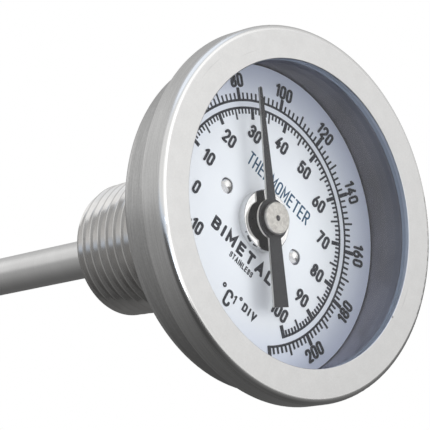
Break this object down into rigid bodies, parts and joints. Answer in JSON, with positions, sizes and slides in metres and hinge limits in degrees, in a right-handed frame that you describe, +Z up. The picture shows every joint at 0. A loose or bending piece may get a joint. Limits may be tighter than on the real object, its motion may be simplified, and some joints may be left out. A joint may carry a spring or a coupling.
{
  "type": "dial thermometer",
  "caption": "Back-connected bimetal dial thermometer: steel case with a wide bezel and glass window, printed temperature scales, turning pointer, taper-thread fitting and slim stem.",
  "frame": {"origin": "on the stem axis, at the shoulder of the fitting's hexagon where the taper pipe thread begins", "axes": "+Y runs from the case along the stem to its tip, +Z is up on the dial, +X is to the right of someone reading the dial"},
  "size_m": [0.0544, 0.1209, 0.0544],
  "materials": {
    "case_steel": "turned satin stainless steel, dull grey",
    "bezel_steel": "satin stainless steel, fine bead-blasted face with polished outer corner",
    "fitting_steel": "bright machined stainless steel",
    "weld_steel": "weld bead, brushed after welding",
    "stem_steel": "satin drawn stainless tube",
    "rivet_steel": "bright domed rivet heads",
    "polished_steel": "mirror-polished flange with a turned edge",
    "cap_steel": "faced steel with fine scratches",
    "spindle_steel": "ground steel",
    "bush_brass": "turned brass",
    "bimetal": "rolled two-layer strip, slightly heat-tinted",
    "window_glass": "clear flat instrument glass",
    "gasket_rubber": "dark grey rubber",
    "dial_enamel": "smooth white baked paint",
    "pointer_paint": "matt charcoal paint with bare cut edges",
    "dial_ink": "screen-printed slate ink of the dial's scales and words"
  },
  "bodies": {
    "case": {"case_cup": "case_steel", "bezel_ring": "bezel_steel", "window_glass": "window_glass", "window_gasket": "gasket_rubber", "dial_plate": "dial_enamel", "dial_rivets": "rivet_steel", "threaded_fitting": "fitting_steel", "case_weld": "weld_steel", "stem_tube": "stem_steel", "stem_weld": "weld_steel", "stem_tip": "stem_steel", "spindle_bush": "polished_steel", "guide_bush_mid": "bush_brass", "guide_bush_low": "bush_brass", "coil_anchor": "bush_brass", "bimetal_coil": "bimetal"},
    "indicator": {"spindle": "spindle_steel", "coil_collar": "spindle_steel", "stop_collar": "spindle_steel", "pointer_bush": "spindle_steel", "pointer": "pointer_paint", "pointer_cap": "cap_steel"}
  },
  "joints": [
    {"name": "pointer_turn", "type": "hinge", "parent": "case", "child": "indicator", "pos_m": [0, 0, 0], "axis": [0, 1, 0], "range_deg": [-92, 171], "stiffness_Nm_per_rad": 0.0005, "deforming": ["bimetal_coil"]}
  ]
}
